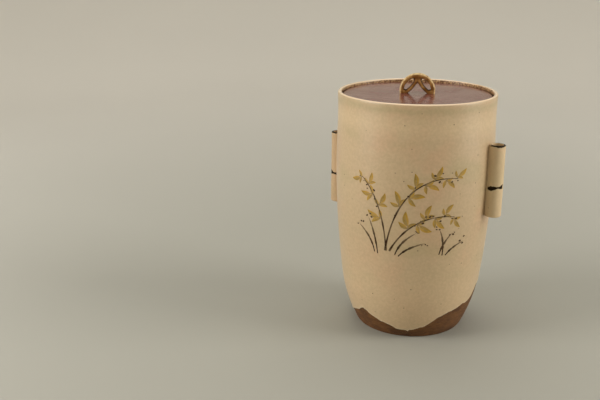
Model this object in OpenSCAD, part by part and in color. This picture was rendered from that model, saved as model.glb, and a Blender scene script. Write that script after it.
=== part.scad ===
// Lidded water jar for tea: a thrown stoneware barrel with two tube lugs and a drop-in lid.
// The origin is the middle of the foot, +Z is up, +X runs through the right lug and -Y is the front.

/* [Jar] */
// Height from the table to the top of the rim
jar_h = 212; // [190:1:240]
// Outside radius at the belly, glaze included
belly_r = 69.3; // [62:0.1:78]
// Height of the belly
belly_z = 150; // [130:1:165]
// How far the barrel draws in from the belly down to the table
barrel_taper = 14; // [6:0.5:17]
// How much more the foot tucks in
foot_tuck = 7; // [2:0.5:10]
// Height where the tuck of the foot begins
tuck_z = 45; // [30:1:60]
// How far the lip flares outwards
lip_flare = 2.1; // [0.5:0.1:3.5]
// Height of the flared stretch below the rim
flare_h = 32; // [20:1:45]
// Thickness of the clay wall
wall_t = 6; // [4.5:0.1:8]
// Thickness of the clay at the rim
rim_t = 3; // [2.4:0.1:4]
// Thickness of the clay floor
floor_t = 9; // [6:0.5:12]
// Radius of the cove between the floor and the wall inside
cove_r = 12; // [6:1:18]
// Width of the ring that the jar stands on
foot_ring_w = 8; // [5:0.5:14]
// Depth of the recess turned inside the foot ring
foot_recess = 3; // [1:0.5:5]

/* [Glaze] */
// Thickness of every glaze coat
glaze_t = 0.4; // [0.3:0.05:0.6]
// Height of the lowest point of each dip in the glaze
dip_low = 8; // [5:0.5:14]
// Rise of the dipped edge for each millimetre away from its lowest point
dip_slope = 0.8; // [0.3:0.05:1]
// Direction of the front dip, counted from the right lug
front_dip_turn = -66; // [-90:1:-50]
// Direction of the left dip
left_dip_turn = -164; // [-180:1:-140]
// Direction of the back dip
back_dip_turn = 46; // [30:1:70]

/* [Lugs] */
// Outside diameter of a lug
lug_d = 14.4; // [13:0.1:18]
// Diameter of the bore through a lug
lug_bore_d = 9.2; // [7:0.1:10]
// Clear distance between the bore and the belly
lug_bore_off = 0.5; // [0.4:0.1:1]
// Length of the right lug
right_lug_len = 63; // [40:0.5:75]
// Length of the left lug
left_lug_len = 66.5; // [40:0.5:75]
// Height of the right lug's lower end
right_lug_z = 110; // [95:0.5:120]
// Height of the left lug's lower end
left_lug_z = 101.5; // [95:0.5:120]
// Turn of the left lug round the jar, counted from the right lug
left_lug_turn = 182.5; // [170:0.5:190]
// Width of the clay that beds a lug on the wall
lug_bed_w = 9; // [6:0.5:11]

/* [Lid] */
// Thickness of the lid, glaze included
lid_t = 5; // [4:0.5:8]
// Depth of the lid's top below the rim
lid_sink = 3; // [1:0.5:6]
// Clearance round the lid in the mouth
lid_gap = 0.5; // [0.3:0.1:1.5]
// Clearance under the lid on its ledge
seat_gap = 0.2; // [0.1:0.05:0.4]
// Width of the ledge that carries the lid
ledge_w = 6.5; // [4:0.5:9]
// Thickness of the ledge at its inner edge
ledge_t = 4; // [3:0.5:6]
// Round of the lid's top edge
lid_round = 1.5; // [1:0.1:2.5]
// Bevel of the lid's bottom edge
lid_bevel = 1; // [0.5:0.1:1.5]
// How far the lid's glaze runs down its edge
lid_glaze_h = 3; // [2.6:0.1:3.5]
// Turn of the lid in its seat, counted from the right lug
lid_turn = 23; // [0:1:90]

/* [Knob] */
// Width of the knob over its two loops
knob_w = 31; // [26:0.5:38]
// Height of the knob above the lid
knob_h = 17.6; // [16:0.1:24]
// Distance of the knob behind the middle of the lid
knob_off = 3; // [0:0.1:6]
// Thickness of the coil that makes the arch
arch_coil_d = 4.4; // [3.4:0.1:5]
// Thickness of the coil that makes each inner leg
leg_coil_d = 3.6; // [2.6:0.1:3.8]
// Height above the lid where the two inner legs part
fork_h = 13; // [11:0.1:14]
// Distance from the knob's middle to the foot of each inner leg
leg_foot_x = 10.2; // [8:0.1:11]
// Radius of the slight bow in each inner leg
leg_bow_r = 26; // [20:1:80]
// Diameter of the clay pressed into each foot
foot_clay_d = 6; // [4.6:0.1:6.4]
// Diameter of the clay pressed into the crest
crest_clay_d = 6.4; // [5:0.1:7]

/* [Hidden] */
$fn = 96;
wall_bands = 36;
bowl_bands = 24;
round_step = 15;

// heights
rim_z = jar_h - rim_t / 2 - glaze_t;
lid_top = jar_h - lid_sink;
lid_bottom = lid_top - lid_t;
ledge_z = lid_bottom - seat_gap;
floor_z = foot_recess + floor_t;

// radius of the glazed outside at height z: barrel, tucked foot and flared lip added up
function barrel_in(z) = barrel_taper * pow((z - belly_z) / belly_z, 2);
function foot_in(z) = foot_tuck * pow(max(0, tuck_z - z) / tuck_z, 2);
function lip_out(z) = lip_flare * pow(max(0, z - jar_h + flare_h) / flare_h, 2);
function outer_r(z) = belly_r - barrel_in(z) - foot_in(z) + lip_out(z);
function clay_r(z) = outer_r(z) - glaze_t;
function inner_r(z) = clay_r(z) - wall_t;

// radii that hang on the wall
foot_in_r = clay_r(0) - foot_ring_w;
gallery_r = clay_r(rim_z) - rim_t;
ledge_r = gallery_r - ledge_w;
lid_r = gallery_r - glaze_t - lid_gap;
ledge_under_z = ledge_z - ledge_t - max(0, inner_r(ledge_z - ledge_t) - ledge_r);

// outlines in the radius and height plane
wall_z = [for (i = [0 : wall_bands]) rim_z * i / wall_bands];
function wall_points(skin) = [for (z = wall_z) [clay_r(z) + skin, z]];
function rim_points(skin) = [
    for (a = [0 : round_step : 180])
        [gallery_r + rim_t / 2 + (rim_t / 2 + skin) * cos(a), rim_z + (rim_t / 2 + skin) * sin(a)]
];
cove_z = floor_z + cove_r;
cove_x = inner_r(cove_z) - cove_r;
function cove_points(skin) = [
    for (a = [-90 : round_step : 0])
        [cove_x + (cove_r - skin) * cos(a), cove_z + (cove_r - skin) * sin(a)]
];
function bowl_points(skin) = concat(
    cove_points(skin),
    [
        for (i = [1 : bowl_bands])
            let (z = cove_z + (ledge_under_z - cove_z) * i / bowl_bands)
                [inner_r(z) - skin, z]
    ]
);
function lid_edge_points(skin) = [
    for (a = [0 : round_step : 90])
        [
            lid_r - lid_round + (lid_round - skin) * cos(a),
            lid_top - lid_round + (lid_round - skin) * sin(a)
        ]
];
function backwards(list) = [for (i = [len(list) - 1 : -1 : 0]) list[i]];

module jar_body() {
    color("#6b4630") rotate_extrude() polygon(concat(
        [[0, foot_recess], [foot_in_r, foot_recess], [foot_in_r, 0]],
        wall_points(0),
        rim_points(0),
        [[gallery_r, ledge_z], [ledge_r, ledge_z], [ledge_r, ledge_z - ledge_t]],
        backwards(bowl_points(0)),
        [[0, floor_z]]
    ));
}

// everything below one tilted dip of the jar into the glaze
module below_dip(turn) {
    reach = 2 * jar_h;
    rotate([0, 0, turn])
        translate([outer_r(dip_low), 0, dip_low])
            rotate([0, atan(dip_slope), 0])
                translate([-reach, -reach, -reach])
                    cube([2 * reach, 2 * reach, reach]);
}

// the coat stays bare only where none of the three dips reached
module outer_glaze() {
    color("#c8aa82") difference() {
        rotate_extrude() polygon(concat(
            wall_points(glaze_t),
            rim_points(glaze_t),
            backwards(rim_points(0)),
            backwards(wall_points(0))
        ));
        intersection() {
            below_dip(front_dip_turn);
            below_dip(left_dip_turn);
            below_dip(back_dip_turn);
        }
    }
}

module inner_glaze() {
    color("#bfa27c") rotate_extrude() polygon(concat(
        [[0, floor_z]],
        bowl_points(0),
        backwards(bowl_points(glaze_t)),
        [[0, floor_z + glaze_t]]
    ));
}

// a rolled tube, bedded on the wall and cut to its curve
module lug(low_z, length) {
    lug_x = belly_r + lug_bore_off + lug_bore_d / 2;
    bed_depth = lug_d / 2;
    cut_past = 1;
    difference() {
        translate([lug_x, 0, low_z]) {
            cylinder(d = lug_d, h = length);
            translate([-bed_depth - lug_bore_d / 2, -lug_bed_w / 2, 0])
                cube([bed_depth, lug_bed_w, length]);
        }
        translate([lug_x, 0, low_z - cut_past])
            cylinder(d = lug_bore_d, h = length + 2 * cut_past);
        rotate_extrude() polygon(concat([[0, 0]], wall_points(glaze_t), [[0, rim_z]]));
    }
}

module right_lug() {
    color("#b9a07a") lug(right_lug_z, right_lug_len);
}

module left_lug() {
    color("#b9a07a") rotate([0, 0, left_lug_turn]) lug(left_lug_z, left_lug_len);
}

module lid_disc() {
    clay_lid_r = lid_r - glaze_t;
    color("#6a4a3c") rotate_extrude() polygon(concat(
        [[0, lid_bottom], [clay_lid_r - lid_bevel, lid_bottom], [clay_lid_r, lid_bottom + lid_bevel]],
        lid_edge_points(glaze_t),
        [[0, lid_top - glaze_t]]
    ));
}

module lid_glaze() {
    color("#6e4a48") rotate_extrude() polygon(concat(
        [[lid_r - glaze_t, lid_top - lid_glaze_h], [lid_r, lid_top - lid_glaze_h]],
        lid_edge_points(0),
        [[0, lid_top], [0, lid_top - glaze_t]],
        backwards(lid_edge_points(glaze_t))
    ));
}

// a stretch of round coil bent in the upright plane of the knob
module coil(x, z, r, d, from, to) {
    translate([x, 0, z])
        rotate([90, 0, 0])
            rotate([0, 0, from])
                rotate_extrude(angle = to - from)
                    translate([r, 0])
                        circle(d = d);
}

// one leaf-shaped loop, on the -X side of the knob, with its foot flat on the lid
module knob_loop() {
    arch_r = (knob_w - arch_coil_d) / 2;
    arch_z = knob_h - knob_w / 2;
    chord = norm([leg_foot_x, fork_h]);
    bow_off = sqrt(pow(leg_bow_r, 2) - pow(chord / 2, 2));
    bow_x = -leg_foot_x / 2 - bow_off * fork_h / chord;
    bow_z = fork_h / 2 + bow_off * leg_foot_x / chord;
    leg_top = atan2(fork_h - bow_z, -bow_x);
    leg_end = atan2(-bow_z, -leg_foot_x - bow_x);
    arch_end = 235;
    past_ends = 6;
    foot_clay_z = foot_clay_d / 3;
    crest_clay_z = knob_h - arch_coil_d / 2 - crest_clay_d / 3;
    foot_x = -(leg_foot_x + arch_r) / 2;
    intersection() {
        union() {
            coil(0, arch_z, arch_r, arch_coil_d, 90 - past_ends, arch_end);
            coil(bow_x, bow_z, leg_bow_r, leg_coil_d, leg_end - past_ends, leg_top + past_ends);
            translate([foot_x, 0, foot_clay_z])
                sphere(d = foot_clay_d);
            translate([0, 0, crest_clay_z])
                sphere(d = crest_clay_d);
        }
        translate([-knob_w, -knob_w / 2, 0])
            cube([knob_w, knob_w, 2 * knob_h]);
    }
}

// puts the knob on the lid, a little behind its middle
module on_lid() {
    translate([0, 0, lid_top])
        rotate([0, 0, lid_turn])
            translate([0, knob_off, 0])
                children();
}

module knob_left_loop() {
    color("#966e3c") on_lid() knob_loop();
}

module knob_right_loop() {
    color("#966e3c") on_lid() rotate([0, 0, 180]) knob_loop();
}

jar_body();
outer_glaze();
inner_glaze();
left_lug();
right_lug();
lid_disc();
lid_glaze();
knob_left_loop();
knob_right_loop();
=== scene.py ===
import math

import bpy
import numpy as np
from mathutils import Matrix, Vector


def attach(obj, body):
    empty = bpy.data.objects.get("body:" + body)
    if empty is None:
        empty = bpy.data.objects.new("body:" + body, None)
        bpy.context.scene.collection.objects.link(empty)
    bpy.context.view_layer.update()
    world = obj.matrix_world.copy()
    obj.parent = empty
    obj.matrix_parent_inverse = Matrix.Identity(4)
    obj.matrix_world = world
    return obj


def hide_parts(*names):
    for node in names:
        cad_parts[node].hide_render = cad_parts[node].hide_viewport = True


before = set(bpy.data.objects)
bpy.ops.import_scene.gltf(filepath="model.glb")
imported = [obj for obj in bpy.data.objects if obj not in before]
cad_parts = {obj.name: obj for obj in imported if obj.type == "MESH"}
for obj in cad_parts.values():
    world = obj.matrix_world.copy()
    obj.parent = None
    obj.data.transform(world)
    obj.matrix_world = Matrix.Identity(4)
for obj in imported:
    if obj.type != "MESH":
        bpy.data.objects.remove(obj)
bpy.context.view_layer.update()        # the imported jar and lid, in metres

mm = 0.001
print("frame loaded:", sorted(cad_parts))


# Grids and meshes

def meshPiece(name, vertices, faces):
    mesh = bpy.data.meshes.new(name)
    mesh.from_pydata(vertices.tolist(), [], faces)
    mesh.polygons.foreach_set("use_smooth", np.ones(len(mesh.polygons), dtype=bool))
    mesh.update()
    piece = bpy.data.objects.new(name, mesh)
    bpy.context.scene.collection.objects.link(piece)
    return piece


# A mesh over a grid of points whose columns go once round and close. Closed rows join their last line
# to their first, and a pole is one point with a fan of triangles.
def gridPiece(name, points, closeRows=False, firstPole=None, lastPole=None):
    rows, columns = points.shape[:2]
    index = np.arange(rows * columns).reshape(rows, columns)
    above = np.roll(index, -1, axis=0)
    right = np.roll(index, -1, axis=1)
    both = np.roll(above, -1, axis=1)
    quads = np.stack([index, right, both, above], axis=-1)
    if not closeRows:
        quads = quads[:-1]
    faces = quads.reshape(-1, 4).tolist()
    vertices = points.reshape(-1, 3)
    for pole, ring in ((firstPole, index[0]), (lastPole, index[-1][::-1])):
        if pole is not None:
            tip = np.full(columns, len(vertices))
            faces += np.stack([tip, np.roll(ring, -1), ring], axis=-1).tolist()
            vertices = np.vstack([vertices, pole])
    return meshPiece(name, vertices, faces)


# Several grids with one row and column count, joined as one piece of open patches
def patchPiece(name, patches):
    count, rows, columns = patches.shape[:3]
    index = np.arange(count * rows * columns).reshape(count, rows, columns)
    corners = [index[:, :-1, :-1], index[:, :-1, 1:], index[:, 1:, 1:], index[:, 1:, :-1]]
    quads = np.stack(corners, axis=-1)
    return meshPiece(name, patches.reshape(-1, 3), quads.reshape(-1, 4).tolist())


# Turns every face of a closed piece over when the volume inside it comes out negative
def faceOutwards(piece):
    mesh = piece.data
    mesh.calc_loop_triangles()
    corners = np.empty(len(mesh.loop_triangles) * 3, dtype=np.int32)
    mesh.loop_triangles.foreach_get("vertices", corners)
    places = np.empty(len(mesh.vertices) * 3)
    mesh.vertices.foreach_get("co", places)
    tri = places.reshape(-1, 3)[corners.reshape(-1, 3)]
    volume = np.einsum("ij,ij->i", tri[:, 0], np.cross(tri[:, 1], tri[:, 2])).sum()
    if volume < 0:
        mesh.flip_normals()
    return piece


# A number for every vertex, for a material to read by name
def paintValue(piece, name, values):
    layer = piece.data.attributes.new(name, "FLOAT", "POINT")
    flat = np.zeros(len(piece.data.vertices))
    flat[: values.size] = values.reshape(-1)
    layer.data.foreach_set("value", flat)


# Outline points from radii and heights, either of which may be one number for all
def outlinePoints(radius, z):
    return np.stack(np.broadcast_arrays(radius, z), -1)


# Part of a circle in an outline: its middle plus its size times the cosine and sine of each angle
def arc(middleRadius, middleZ, size, angles):
    return outlinePoints(middleRadius + size * np.cos(angles), middleZ + size * np.sin(angles))


# Straight steps between corner points, with the asked number of steps on each stretch
def stepsBetween(corners, counts):
    stretches = [
        np.linspace(start, end, count, endpoint=False)
        for start, end, count in zip(corners[:-1], corners[1:], counts)
    ]
    return np.vstack(stretches + [np.array(corners[-1:])])


# Even turns once round, as one row of a grid
def onceRound(count):
    return np.linspace(0, 2 * np.pi, count, endpoint=False)[None, :]


# Points of an outline carried once round the axis: radius, height and turn become x, y and z
def carriedRound(radius, z, turn):
    return np.stack(np.broadcast_arrays(radius * np.cos(turn), radius * np.sin(turn), z), -1)


# A place turned about the jar's axis
def turnedBy(turn, x, y, z):
    turnedX = x * np.cos(turn) - y * np.sin(turn)
    turnedY = x * np.sin(turn) + y * np.cos(turn)
    return np.stack(np.broadcast_arrays(turnedX, turnedY, z), -1)


# Node helpers

# Sets a node's sockets: another node's output is linked, a plain value is written in
def fill(tree, item, sockets):
    for key, value in sockets.items():
        if isinstance(value, bpy.types.NodeSocket):
            tree.links.new(value, item.inputs[key])
        else:
            item.inputs[key].default_value = value


# One node with its settings and sockets
def put(tree, kind, sockets=None, **settings):
    item = tree.nodes.new(kind)
    for key, value in settings.items():
        setattr(item, key, value)
    fill(tree, item, sockets or {})
    return item


def maths(tree, operation, a, b=0.0, c=0.0, clamp=False):
    item = put(tree, "ShaderNodeMath", {0: a, 1: b, 2: c}, operation=operation, use_clamp=clamp)
    return item.outputs[0]


def plus(tree, a, b, clamp=False):
    return maths(tree, "ADD", a, b, clamp=clamp)


def minus(tree, a, b):
    return maths(tree, "SUBTRACT", a, b)


def times(tree, a, b, clamp=False):
    return maths(tree, "MULTIPLY", a, b, clamp=clamp)


# A texture about 0.5 moved to lie about 0, times a size
def centred(tree, value, size):
    return times(tree, minus(tree, value, 0.5), size)


# The root of the sum of two squares
def lengthOf(tree, a, b):
    return maths(tree, "SQRT", plus(tree, maths(tree, "POWER", a, 2.0), maths(tree, "POWER", b, 2.0)))


# A smooth step of a value from 0 at low to 1 at high
def stepUp(tree, value, low, high):
    sockets = {"Value": value, "From Min": low, "From Max": high}
    return put(tree, "ShaderNodeMapRange", sockets, interpolation_type="SMOOTHSTEP").outputs[0]


# The same from 1 at low to 0 at high
def stepDown(tree, value, low, high):
    return minus(tree, 1.0, stepUp(tree, value, low, high))


# A value that runs from low to high, carried over to the range from toLow to toHigh
def spread(tree, value, toLow, toHigh, low=0.0, high=1.0):
    sockets = {"Value": value, "From Min": low, "From Max": high, "To Min": toLow, "To Max": toHigh}
    return put(tree, "ShaderNodeMapRange", sockets).outputs[0]


def blendColour(tree, factor, a, b, mode="MIX"):
    item = put(tree, "ShaderNodeMix", {0: factor, 6: a, 7: b}, data_type="RGBA", blend_type=mode)
    return item.outputs[2]


# A colour times the dark shade where a texture is 0 and times the pale one where it is 1
def shaded(tree, colour, texture, dark, pale):
    return blendColour(tree, 1.0, colour, blendColour(tree, texture, dark, pale), "MULTIPLY")


def noise(tree, place, scale, detail=3.0, roughness=0.5, stretch=None):
    if stretch:
        place = put(tree, "ShaderNodeMapping", {"Vector": place, "Scale": stretch}).outputs[0]
    sockets = {"Vector": place, "Scale": scale, "Detail": detail, "Roughness": roughness}
    return put(tree, "ShaderNodeTexNoise", sockets).outputs[0]


# Scattered dots: each cell has one that fades out between two distances from its middle, but only cells
# whose own random value passes the chance show it
def speckles(tree, place, scale, size, chance):
    cells = put(tree, "ShaderNodeTexVoronoi", {"Vector": place, "Scale": scale}).outputs
    own = put(tree, "ShaderNodeSeparateColor", {0: cells["Color"]}).outputs[0]
    return times(tree, stepDown(tree, cells["Distance"], *size), stepUp(tree, own, *chance))


def bump(tree, height, strength, distance, below=None):
    sockets = {"Height": height, "Strength": strength, "Distance": distance}
    if below:
        sockets["Normal"] = below
    return put(tree, "ShaderNodeBump", sockets).outputs[0]


def attribute(tree, name):
    return put(tree, "ShaderNodeAttribute", attribute_name=name).outputs["Fac"]


def axes(tree, place):
    parts = put(tree, "ShaderNodeSeparateXYZ", {0: place}).outputs
    return parts["X"], parts["Y"], parts["Z"]


# A place as a piece's own frame has it, which is turned about the jar's axis and then shifted
def turnedPlace(tree, place, turn, shift):
    sockets = {"Vector": place, "Rotation": (0, 0, -turn), "Location": shift}
    return put(tree, "ShaderNodeMapping", sockets).outputs[0]


def newMaterial(name):
    material = bpy.data.materials.new(name)
    material.use_nodes = True
    tree = material.node_tree
    place = put(tree, "ShaderNodeTexCoord").outputs["Object"]
    return material, tree, tree.nodes["Principled BSDF"], place


# A colour written as 0 to 255 screen values, as the linear colour that shaders take
def screenColour(red, green, blue):
    share = np.array([red, green, blue]) / 255.0
    linear = np.where(share <= 0.04045, share / 12.92, ((share + 0.055) / 1.055) ** 2.4)
    return (*linear.tolist(), 1.0)


def grey(level):
    return (level, level, level, 1.0)


# The jar's outline

jar = dict(
    height=212 * mm,
    bellyRadius=69.3 * mm,
    bellyHeight=150 * mm,
    barrelTaper=14 * mm,
    footTuck=7 * mm,
    tuckHeight=45 * mm,
    lipFlare=2.1 * mm,
    flareHeight=32 * mm,
    wall=6 * mm,
    rim=3 * mm,
    glaze=0.4 * mm,
    lipCoat=0.08 * mm,        # the coat's thickness on the inner lip
    floorTop=12 * mm,
    cove=12 * mm,
    footRing=8 * mm,
    footRecess=3 * mm,
    footBevel=0.9 * mm,
    ledgeWidth=6.5 * mm,
    ledgeThick=4 * mm,
    ledgeHeight=203.8 * mm,
    ledgeRound=0.6 * mm,      # inner edge of the ledge
    galleryRound=0.5 * mm,    # corner between the ledge and the gallery's wall
    throwDepth=0.30 * mm,     # deepest hand mark, always inwards
    throwPitch=7.5 * mm,      # height of one throwing ring
    trimDepth=0.10 * mm,      # turning lines on the bare foot
    trimPitch=1.9 * mm,
    trimBeat=11 * mm,         # height over which they grow deeper and shallower
    trimTop=44 * mm,          # they end here,
    trimFade=6 * mm,          # fading over this height
    around=400,               # points round the jar
)


# Outside radius at a height: belly radius, less a parabola for the barrel, less a second
# parabola for the tucked foot, plus a third for the flared lip
def outerRadius(z):
    barrel = jar["barrelTaper"] * ((z - jar["bellyHeight"]) / jar["bellyHeight"]) ** 2
    tuck = jar["footTuck"] * (np.maximum(0, jar["tuckHeight"] - z) / jar["tuckHeight"]) ** 2
    flareStart = jar["height"] - jar["flareHeight"]
    flare = jar["lipFlare"] * (np.maximum(0, z - flareStart) / jar["flareHeight"]) ** 2
    return jar["bellyRadius"] - barrel - tuck + flare


# Radius of the clay's inside: the outside less the coat and the wall
def innerRadius(z):
    return outerRadius(z) - jar["glaze"] - jar["wall"]


# Hand marks: soft rings that wander with the turn, a little ovalness and a few broad dents, all inwards
def throwMarks(turn, z):
    wander = 1.3 * np.sin(turn + 0.6) + 0.7 * np.sin(2 * turn - 1.1)
    rings = 0.5 - 0.5 * np.sin(2 * np.pi * z / jar["throwPitch"] + wander)
    oval = 0.5 - 0.5 * np.cos(2 * (turn - 0.7))
    dents = 0.5 + 0.25 * np.sin(3 * turn + 41 * z) + 0.25 * np.sin(5 * turn - 63 * z + 2.0)
    return jar["throwDepth"] * (0.22 * rings + 0.40 * oval + 0.38 * dents)


# Outside of the clay: the outside less the coat and the hand marks
def clayRadius(turn, z):
    return outerRadius(z) - jar["glaze"] - throwMarks(turn, z)


rimHeight = jar["height"] - jar["rim"] / 2 - jar["glaze"]
galleryRadius = float(outerRadius(rimHeight)) - jar["glaze"] - jar["rim"]
ledgeRadius = galleryRadius - jar["ledgeWidth"]
ledgeUnder = jar["ledgeHeight"] - jar["ledgeThick"]
innerStart = float(innerRadius(jar["ledgeHeight"]))
innerTop = ledgeUnder - (innerStart - ledgeRadius)    # the slope under the ledge meets the wall here
coveTop = jar["floorTop"] + jar["cove"]
coveMiddle = float(innerRadius(coveTop)) - jar["cove"]


# Clay body: one outline from the middle of the recess under the foot, out and up the wall,
# over the rim, down the lid's gallery and ledge, and down the inside to the middle of the floor
def makeClayBody():
    footRadius = float(outerRadius(0.0)) - jar["glaze"]
    footInside = footRadius - jar["footRing"]
    bevel, recess = jar["footBevel"], jar["footRecess"]
    under = stepsBetween(
        [
            (footInside * 0.02, recess),
            (footInside - bevel, recess),
            (footInside, recess - bevel),
            (footInside, bevel * 0.5),
            (footInside + bevel * 0.5, 0.0),
            (footRadius - bevel, 0.0),
        ],
        [14, 3, 4, 3, 8],
    )
    footEdge = arc(footRadius - bevel, bevel, bevel, np.linspace(-np.pi / 2, 0, 7)[1:])
    lowZ = np.linspace(bevel, jar["trimTop"], 96)[1:]
    highZ = np.linspace(jar["trimTop"], rimHeight, 22)[1:]
    wallZ = np.concatenate([lowZ, highZ])
    wall = outlinePoints(outerRadius(wallZ) - jar["glaze"], wallZ)
    half = jar["rim"] / 2
    rim = arc(galleryRadius + half, rimHeight, half, np.linspace(0, np.pi, 13)[1:])
    ledgeTop = jar["ledgeHeight"]
    gallery = stepsBetween(
        [
            (galleryRadius, rimHeight - 0.3 * mm),
            (galleryRadius, ledgeTop + jar["galleryRound"]),
            (galleryRadius - jar["galleryRound"], ledgeTop),
            (ledgeRadius + jar["ledgeRound"], ledgeTop),
            (ledgeRadius, ledgeTop - jar["ledgeRound"]),
            (ledgeRadius, ledgeUnder),
            (innerStart, innerTop),
        ],
        [9, 3, 7, 3, 4, 4],
    )
    innerZ = np.linspace(innerTop, coveTop, 30)[1:]
    inside = outlinePoints(innerRadius(innerZ), innerZ)
    cove = arc(coveMiddle, coveTop, jar["cove"], np.linspace(0, -np.pi / 2, 10)[1:])
    floor = stepsBetween([(coveMiddle * 0.95, jar["floorTop"]), (1.0 * mm, jar["floorTop"])], [8])
    outline = np.vstack([under, footEdge, wall, rim, gallery, inside, cove, floor])

    radius, z = outline[:, :1], outline[:, 1:]
    turn = onceRound(jar["around"])
    isWall = np.zeros((len(outline), 1))
    isWall[len(under) : len(under) + len(footEdge) + len(wall)] = 1.0
    wander = 0.9 * np.sin(turn) + 0.5 * np.sin(3 * turn)
    trim = 0.5 - 0.5 * np.sin(2 * np.pi * z / jar["trimPitch"] + wander)
    trim = trim * (0.55 + 0.45 * np.sin(2 * np.pi * z / jar["trimBeat"] + 2 * turn))
    onFoot = np.clip((jar["trimTop"] - z) / jar["trimFade"], 0, 1)
    radius = radius - isWall * (throwMarks(turn, z) + jar["trimDepth"] * trim * onFoot)
    poles = dict(firstPole=(0, 0, recess), lastPole=(0, 0, jar["floorTop"]))
    return faceOutwards(gridPiece("clay_body", carriedRound(radius, z, turn), **poles))


# The jar's glaze

coatShape = dict(
    climb=14 * mm,          # between two tongues the edge climbs by this once more,
    climbStart=55,          # from so many degrees off a tongue's lowest point
    climbReach=17,
    drip=1.5 * mm,          # drip at the end of the first tongue
    dripWidth=0.9,          # in degrees
    edgeRound=0.55 * mm,
    bead=0.22 * mm,         # how much thicker the coat is at its edge,
    beadReach=1.6 * mm,     # fading over this height
    swell=0.10 * mm,        # and a broader swelling above it
    swellReach=6 * mm,
    broadDip=0.28 * mm,     # how far the crest of the rim dips, in two waves round
    fineDip=0.12 * mm,      # and in seven
    inset=0.35 * mm,        # how deep the coat's back lies in the clay
    galleryEnd=1.2 * mm,    # how far above the ledge the coat ends
    edgePale=1.3 * mm,      # height over which the pale edge fades
)
# Each run of glaze hangs in a tongue: turn of its lowest point in degrees, its height there,
# how far it rises beside that, and its reach to either side in degrees
glazeTongues = [
    dict(turn=-66.8, low=8.0 * mm, rise=21.5 * mm, leftReach=43.5, rightReach=29.0),
    dict(turn=-150.0, low=9.0 * mm, rise=19.0 * mm, leftReach=42.0, rightReach=37.0),
    dict(turn=82.0, low=12.0 * mm, rise=27.0 * mm, leftReach=34.0, rightReach=36.0),
    dict(turn=146.0, low=10.5 * mm, rise=18.0 * mm, leftReach=36.0, rightReach=32.0),
]


# Degrees from a start to a turn, between -180 and 180
def degreesFrom(start, turn):
    return (np.degrees(turn) - start + 180) % 360 - 180


# Height of the glaze's edge: the lowest of the tongues, each an upturned bell curve about its own turn plus
# a square climb far from it, less a narrow bell for the drip at the end of the first, plus four sines for
# a small waver
def glazeEdge(turn):
    heights = []
    for tongue in glazeTongues:
        away = degreesFrom(tongue["turn"], turn)
        reach = np.where(away < 0, tongue["leftReach"], tongue["rightReach"])
        bell = np.exp(-((away / reach) ** 2))
        far = np.clip((np.abs(away) - coatShape["climbStart"]) / coatShape["climbReach"], 0, 1)
        heights.append(tongue["low"] + tongue["rise"] * (1 - bell) + coatShape["climb"] * far**2)
    fromDrip = degreesFrom(glazeTongues[0]["turn"], turn)
    drip = coatShape["drip"] * np.exp(-((fromDrip / coatShape["dripWidth"]) ** 2))
    waver = 0.55 * np.sin(15 * turn - 1.05) + 0.25 * np.sin(26 * turn + 2.1)
    waver = waver + 0.16 * np.sin(43 * turn) + 0.10 * np.sin(71 * turn + 1.0)
    return np.minimum.reduce(heights) + waver * mm - drip


# Glaze coat: from its edge up the wall at the coat's thickness, over the rim and thinly down the gallery,
# then back inside the clay, so that the coat is a closed skin with a rounded, slightly swollen edge
def makeGlazeCoat():
    shape = coatShape
    turn = onceRound(jar["around"])
    edge = glazeEdge(turn)
    z = edge + (rimHeight - edge) * np.linspace(0, 1, 170)[:, None] ** 1.55
    up = z - edge
    roll = np.sqrt(1 - (1 - np.clip(up / shape["edgeRound"], 0, 1)) ** 2)
    bead = shape["bead"] * np.exp(-((up / shape["beadReach"]) ** 2))
    swell = shape["swell"] * np.exp(-((up / shape["swellReach"]) ** 2))
    outside = carriedRound(clayRadius(turn, z) + roll * (jar["glaze"] + bead + swell), z, turn)

    half = jar["rim"] / 2
    middle = galleryRadius + half
    crest = np.linspace(0, np.pi, 21)[1:, None]
    thin = np.clip((crest / np.pi - 0.55) / 0.45, 0, 1)
    size = half + jar["glaze"] - (jar["glaze"] - jar["lipCoat"]) * thin
    dip = shape["broadDip"] * (0.5 + 0.5 * np.sin(2 * turn + 1.0))
    dip = dip + shape["fineDip"] * (0.5 + 0.5 * np.sin(7 * turn))
    marks = throwMarks(turn, rimHeight) * (0.5 + 0.5 * np.cos(crest))
    lip = carriedRound(middle + size * np.cos(crest) - marks, rimHeight + (size - dip) * np.sin(crest), turn)
    downZ = np.linspace(rimHeight, jar["ledgeHeight"] + shape["galleryEnd"], 8)[1:, None]
    gallery = carriedRound(galleryRadius - jar["lipCoat"], downZ, turn)

    inset = shape["inset"]
    galleryBack = carriedRound(galleryRadius + inset, downZ[::-1], turn)
    backCrest = np.linspace(np.pi, 0, 11)[:, None]
    backSize = half - inset
    backZ = rimHeight + (backSize - dip) * np.sin(backCrest)
    backLip = carriedRound(middle + backSize * np.cos(backCrest), backZ, turn)
    backZ = rimHeight + (edge - rimHeight) * np.linspace(0, 1, 24)[1:, None]
    back = carriedRound(clayRadius(turn, backZ) - inset, backZ, turn)
    points = np.concatenate([outside, lip, gallery, galleryBack, backLip, back])
    coat = faceOutwards(gridPiece("glaze_coat", points, closeRows=True))

    thinLip = np.zeros(points.shape[:2])
    thinLip[len(outside) : len(outside) + len(lip)] = thin
    thinLip[len(outside) + len(lip) :] = 1.0
    nearEdge = np.zeros(points.shape[:2])
    nearEdge[: len(outside)] = np.exp(-up / shape["edgePale"])
    paintValue(coat, "thinLip", thinLip)
    paintValue(coat, "nearEdge", nearEdge)
    return coat


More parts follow.
